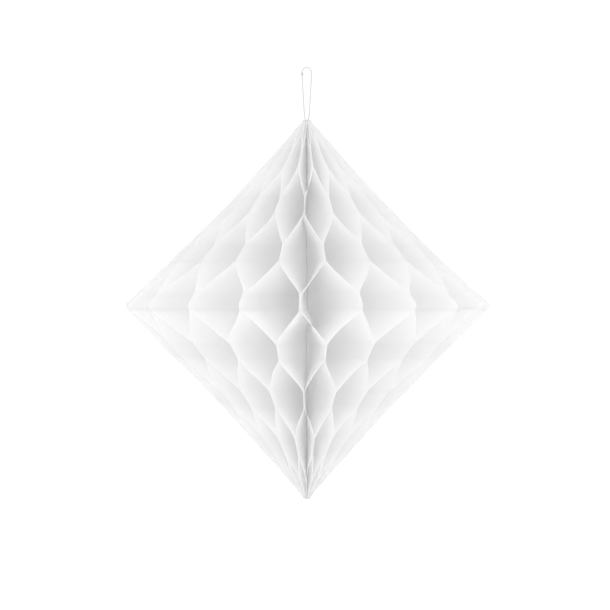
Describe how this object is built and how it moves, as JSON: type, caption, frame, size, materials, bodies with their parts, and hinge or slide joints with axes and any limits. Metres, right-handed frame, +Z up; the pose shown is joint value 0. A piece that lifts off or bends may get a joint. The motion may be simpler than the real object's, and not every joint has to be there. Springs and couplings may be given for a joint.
{
  "type": "paper honeycomb diamond",
  "caption": "Hanging tissue-paper honeycomb diamond: glued leaves fan out round a spine cord between card covers, fold flat into a half diamond, and hang from a thread loop.",
  "frame": {"origin": "inside crown of the thread loop, the point the decoration hangs from", "axes": "+Z up along the spine cord, -Y towards the front glue column, +Y towards the two card covers, +X to the right seen from the front"},
  "size_m": [0.1996, 0.1996, 0.2358],
  "materials": {
    "tissue": "matt white tissue paper",
    "card": "matt white card",
    "adhesive": "clear soft adhesive",
    "cord": "white twisted cotton",
    "thread": "white twisted thread"
  },
  "bodies": {
    "hanger": {"hanging_loop": "thread", "loop_knot": "thread"},
    "tie": {"tie_ring": "thread"},
    "spine": {"spine_cord": "cord", "bottom_knot": "cord"},
    "column_20": {"leaf_20": "tissue", "leaf_21": "tissue"},
    "column_19": {"leaf_19": "tissue"},
    "column_18": {"leaf_18": "tissue"},
    "column_17": {"leaf_17": "tissue"},
    "column_16": {"leaf_16": "tissue"},
    "column_15": {"leaf_15": "tissue"},
    "column_14": {"leaf_14": "tissue"},
    "column_13": {"leaf_13": "tissue"},
    "column_12": {"leaf_12": "tissue"},
    "column_11": {"leaf_11": "tissue"},
    "column_10": {"leaf_10": "tissue"},
    "column_09": {"leaf_09": "tissue"},
    "column_08": {"leaf_08": "tissue"},
    "column_07": {"leaf_07": "tissue"},
    "column_06": {"leaf_06": "tissue"},
    "column_05": {"leaf_05": "tissue"},
    "column_04": {"leaf_04": "tissue"},
    "column_03": {"leaf_03": "tissue"},
    "column_02": {"leaf_02": "tissue"},
    "column_01": {"leaf_01": "tissue"},
    "column_00": {"cover_a": "card"},
    "column_21": {"leaf_22": "tissue"},
    "column_22": {"leaf_23": "tissue"},
    "column_23": {"leaf_24": "tissue"},
    "column_24": {"leaf_25": "tissue"},
    "column_25": {"leaf_26": "tissue"},
    "column_26": {"leaf_27": "tissue"},
    "column_27": {"leaf_28": "tissue"},
    "column_28": {"leaf_29": "tissue"},
    "column_29": {"leaf_30": "tissue"},
    "column_30": {"leaf_31": "tissue"},
    "column_31": {"leaf_32": "tissue"},
    "column_32": {"leaf_33": "tissue"},
    "column_33": {"leaf_34": "tissue"},
    "column_34": {"leaf_35": "tissue"},
    "column_35": {"leaf_36": "tissue"},
    "column_36": {"leaf_37": "tissue"},
    "column_37": {"leaf_38": "tissue"},
    "column_38": {"leaf_39": "tissue"},
    "column_39": {"leaf_40": "tissue"},
    "column_40": {"cover_b": "card", "upper_tab": "adhesive", "lower_tab": "adhesive"}
  },
  "joints": [
    {"name": "swing_side", "type": "hinge", "parent": "hanger", "child": "tie", "pos_m": [0, 0, -0.02833], "axis": [0, 1, 0], "range_deg": [-30, 30]},
    {"name": "swing_front", "type": "hinge", "parent": "tie", "child": "spine", "pos_m": [0, 0, -0.02978], "axis": [1, 0, 0], "range_deg": [-30, 30]},
    {"name": "spin", "type": "hinge", "parent": "spine", "child": "column_20", "pos_m": [0, 0, -0.12908], "axis": [0, 0, 1], "continuous": true},
    {"name": "fold", "type": "hinge", "parent": "column_20", "child": "column_21", "pos_m": [0, 0, -0.12908], "axis": [0, 0, -1], "range_deg": [0, 8.7], "deforming": ["leaf_20", "leaf_21", "leaf_22"]},
    {"name": "fold_right_02", "type": "hinge", "parent": "column_21", "child": "column_22", "pos_m": [0, 0, -0.12908], "axis": [0, 0, -1], "range_deg": [0, 8.7], "deforming": ["leaf_23"]},
    {"name": "fold_right_03", "type": "hinge", "parent": "column_22", "child": "column_23", "pos_m": [0, 0, -0.12908], "axis": [0, 0, -1], "range_deg": [0, 8.7], "deforming": ["leaf_24"]},
    {"name": "fold_right_04", "type": "hinge", "parent": "column_23", "child": "column_24", "pos_m": [0, 0, -0.12908], "axis": [0, 0, -1], "range_deg": [0, 8.7], "deforming": ["leaf_25"]},
    {"name": "fold_right_05", "type": "hinge", "parent": "column_24", "child": "column_25", "pos_m": [0, 0, -0.12908], "axis": [0, 0, -1], "range_deg": [0, 8.7], "deforming": ["leaf_26"]},
    {"name": "fold_right_06", "type": "hinge", "parent": "column_25", "child": "column_26", "pos_m": [0, 0, -0.12908], "axis": [0, 0, -1], "range_deg": [0, 8.7], "deforming": ["leaf_27"]},
    {"name": "fold_right_07", "type": "hinge", "parent": "column_26", "child": "column_27", "pos_m": [0, 0, -0.12908], "axis": [0, 0, -1], "range_deg": [0, 8.7], "deforming": ["leaf_28"]},
    {"name": "fold_right_08", "type": "hinge", "parent": "column_27", "child": "column_28", "pos_m": [0, 0, -0.12908], "axis": [0, 0, -1], "range_deg": [0, 8.7], "deforming": ["leaf_29"]},
    {"name": "fold_right_09", "type": "hinge", "parent": "column_28", "child": "column_29", "pos_m": [0, 0, -0.12908], "axis": [0, 0, -1], "range_deg": [0, 8.7], "deforming": ["leaf_30"]},
    {"name": "fold_right_10", "type": "hinge", "parent": "column_29", "child": "column_30", "pos_m": [0, 0, -0.12908], "axis": [0, 0, -1], "range_deg": [0, 8.7], "deforming": ["leaf_31"]},
    {"name": "fold_right_11", "type": "hinge", "parent": "column_30", "child": "column_31", "pos_m": [0, 0, -0.12908], "axis": [0, 0, -1], "range_deg": [0, 8.7], "deforming": ["leaf_32"]},
    {"name": "fold_right_12", "type": "hinge", "parent": "column_31", "child": "column_32", "pos_m": [0, 0, -0.12908], "axis": [0, 0, -1], "range_deg": [0, 8.7], "deforming": ["leaf_33"]},
    {"name": "fold_right_13", "type": "hinge", "parent": "column_32", "child": "column_33", "pos_m": [0, 0, -0.12908], "axis": [0, 0, -1], "range_deg": [0, 8.7], "deforming": ["leaf_34"]},
    {"name": "fold_right_14", "type": "hinge", "parent": "column_33", "child": "column_34", "pos_m": [0, 0, -0.12908], "axis": [0, 0, -1], "range_deg": [0, 8.7], "deforming": ["leaf_35"]},
    {"name": "fold_right_15", "type": "hinge", "parent": "column_34", "child": "column_35", "pos_m": [0, 0, -0.12908], "axis": [0, 0, -1], "range_deg": [0, 8.7], "deforming": ["leaf_36"]},
    {"name": "fold_right_16", "type": "hinge", "parent": "column_35", "child": "column_36", "pos_m": [0, 0, -0.12908], "axis": [0, 0, -1], "range_deg": [0, 8.7], "deforming": ["leaf_37"]},
    {"name": "fold_right_17", "type": "hinge", "parent": "column_36", "child": "column_37", "pos_m": [0, 0, -0.12908], "axis": [0, 0, -1], "range_deg": [0, 8.7], "deforming": ["leaf_38"]},
    {"name": "fold_right_18", "type": "hinge", "parent": "column_37", "child": "column_38", "pos_m": [0, 0, -0.12908], "axis": [0, 0, -1], "range_deg": [0, 8.7], "deforming": ["leaf_39"]},
    {"name": "fold_right_19", "type": "hinge", "parent": "column_38", "child": "column_39", "pos_m": [0, 0, -0.12908], "axis": [0, 0, -1], "range_deg": [0, 8.7], "deforming": ["leaf_40"]},
    {"name": "fold_right_20", "type": "hinge", "parent": "column_39", "child": "column_40", "pos_m": [0, 0, -0.12908], "axis": [0, 0, -1], "range_deg": [0, 8.7]},
    {"name": "fold_left_01", "type": "hinge", "parent": "column_20", "child": "column_19", "pos_m": [0, 0, -0.12908], "axis": [0, 0, 1], "range_deg": [0, 8.7], "deforming": ["leaf_19"]},
    {"name": "fold_left_02", "type": "hinge", "parent": "column_19", "child": "column_18", "pos_m": [0, 0, -0.12908], "axis": [0, 0, 1], "range_deg": [0, 8.7], "deforming": ["leaf_18"]},
    {"name": "fold_left_03", "type": "hinge", "parent": "column_18", "child": "column_17", "pos_m": [0, 0, -0.12908], "axis": [0, 0, 1], "range_deg": [0, 8.7], "deforming": ["leaf_17"]},
    {"name": "fold_left_04", "type": "hinge", "parent": "column_17", "child": "column_16", "pos_m": [0, 0, -0.12908], "axis": [0, 0, 1], "range_deg": [0, 8.7], "deforming": ["leaf_16"]},
    {"name": "fold_left_05", "type": "hinge", "parent": "column_16", "child": "column_15", "pos_m": [0, 0, -0.12908], "axis": [0, 0, 1], "range_deg": [0, 8.7], "deforming": ["leaf_15"]},
    {"name": "fold_left_06", "type": "hinge", "parent": "column_15", "child": "column_14", "pos_m": [0, 0, -0.12908], "axis": [0, 0, 1], "range_deg": [0, 8.7], "deforming": ["leaf_14"]},
    {"name": "fold_left_07", "type": "hinge", "parent": "column_14", "child": "column_13", "pos_m": [0, 0, -0.12908], "axis": [0, 0, 1], "range_deg": [0, 8.7], "deforming": ["leaf_13"]},
    {"name": "fold_left_08", "type": "hinge", "parent": "column_13", "child": "column_12", "pos_m": [0, 0, -0.12908], "axis": [0, 0, 1], "range_deg": [0, 8.7], "deforming": ["leaf_12"]},
    {"name": "fold_left_09", "type": "hinge", "parent": "column_12", "child": "column_11", "pos_m": [0, 0, -0.12908], "axis": [0, 0, 1], "range_deg": [0, 8.7], "deforming": ["leaf_11"]},
    {"name": "fold_left_10", "type": "hinge", "parent": "column_11", "child": "column_10", "pos_m": [0, 0, -0.12908], "axis": [0, 0, 1], "range_deg": [0, 8.7], "deforming": ["leaf_10"]},
    {"name": "fold_left_11", "type": "hinge", "parent": "column_10", "child": "column_09", "pos_m": [0, 0, -0.12908], "axis": [0, 0, 1], "range_deg": [0, 8.7], "deforming": ["leaf_09"]},
    {"name": "fold_left_12", "type": "hinge", "parent": "column_09", "child": "column_08", "pos_m": [0, 0, -0.12908], "axis": [0, 0, 1], "range_deg": [0, 8.7], "deforming": ["leaf_08"]},
    {"name": "fold_left_13", "type": "hinge", "parent": "column_08", "child": "column_07", "pos_m": [0, 0, -0.12908], "axis": [0, 0, 1], "range_deg": [0, 8.7], "deforming": ["leaf_07"]},
    {"name": "fold_left_14", "type": "hinge", "parent": "column_07", "child": "column_06", "pos_m": [0, 0, -0.12908], "axis": [0, 0, 1], "range_deg": [0, 8.7], "deforming": ["leaf_06"]},
    {"name": "fold_left_15", "type": "hinge", "parent": "column_06", "child": "column_05", "pos_m": [0, 0, -0.12908], "axis": [0, 0, 1], "range_deg": [0, 8.7], "deforming": ["leaf_05"]},
    {"name": "fold_left_16", "type": "hinge", "parent": "column_05", "child": "column_04", "pos_m": [0, 0, -0.12908], "axis": [0, 0, 1], "range_deg": [0, 8.7], "deforming": ["leaf_04"]},
    {"name": "fold_left_17", "type": "hinge", "parent": "column_04", "child": "column_03", "pos_m": [0, 0, -0.12908], "axis": [0, 0, 1], "range_deg": [0, 8.7], "deforming": ["leaf_03"]},
    {"name": "fold_left_18", "type": "hinge", "parent": "column_03", "child": "column_02", "pos_m": [0, 0, -0.12908], "axis": [0, 0, 1], "range_deg": [0, 8.7], "deforming": ["leaf_02"]},
    {"name": "fold_left_19", "type": "hinge", "parent": "column_02", "child": "column_01", "pos_m": [0, 0, -0.12908], "axis": [0, 0, 1], "range_deg": [0, 8.7], "deforming": ["leaf_01"]},
    {"name": "fold_left_20", "type": "hinge", "parent": "column_01", "child": "column_00", "pos_m": [0, 0, -0.12908], "axis": [0, 0, 1], "range_deg": [0, 8.7]}
  ],
  "couplings": [
    {"joint": "fold_right_02", "follows": "fold", "ratio": 1},
    {"joint": "fold_right_03", "follows": "fold", "ratio": 1},
    {"joint": "fold_right_04", "follows": "fold", "ratio": 1},
    {"joint": "fold_right_05", "follows": "fold", "ratio": 1},
    {"joint": "fold_right_06", "follows": "fold", "ratio": 1},
    {"joint": "fold_right_07", "follows": "fold", "ratio": 1},
    {"joint": "fold_right_08", "follows": "fold", "ratio": 1},
    {"joint": "fold_right_09", "follows": "fold", "ratio": 1},
    {"joint": "fold_right_10", "follows": "fold", "ratio": 1},
    {"joint": "fold_right_11", "follows": "fold", "ratio": 1},
    {"joint": "fold_right_12", "follows": "fold", "ratio": 1},
    {"joint": "fold_right_13", "follows": "fold", "ratio": 1},
    {"joint": "fold_right_14", "follows": "fold", "ratio": 1},
    {"joint": "fold_right_15", "follows": "fold", "ratio": 1},
    {"joint": "fold_right_16", "follows": "fold", "ratio": 1},
    {"joint": "fold_right_17", "follows": "fold", "ratio": 1},
    {"joint": "fold_right_18", "follows": "fold", "ratio": 1},
    {"joint": "fold_right_19", "follows": "fold", "ratio": 1},
    {"joint": "fold_right_20", "follows": "fold", "ratio": 1},
    {"joint": "fold_left_01", "follows": "fold", "ratio": 1},
    {"joint": "fold_left_02", "follows": "fold", "ratio": 1},
    {"joint": "fold_left_03", "follows": "fold", "ratio": 1},
    {"joint": "fold_left_04", "follows": "fold", "ratio": 1},
    {"joint": "fold_left_05", "follows": "fold", "ratio": 1},
    {"joint": "fold_left_06", "follows": "fold", "ratio": 1},
    {"joint": "fold_left_07", "follows": "fold", "ratio": 1},
    {"joint": "fold_left_08", "follows": "fold", "ratio": 1},
    {"joint": "fold_left_09", "follows": "fold", "ratio": 1},
    {"joint": "fold_left_10", "follows": "fold", "ratio": 1},
    {"joint": "fold_left_11", "follows": "fold", "ratio": 1},
    {"joint": "fold_left_12", "follows": "fold", "ratio": 1},
    {"joint": "fold_left_13", "follows": "fold", "ratio": 1},
    {"joint": "fold_left_14", "follows": "fold", "ratio": 1},
    {"joint": "fold_left_15", "follows": "fold", "ratio": 1},
    {"joint": "fold_left_16", "follows": "fold", "ratio": 1},
    {"joint": "fold_left_17", "follows": "fold", "ratio": 1},
    {"joint": "fold_left_18", "follows": "fold", "ratio": 1},
    {"joint": "fold_left_19", "follows": "fold", "ratio": 1},
    {"joint": "fold_left_20", "follows": "fold", "ratio": 1}
  ]
}
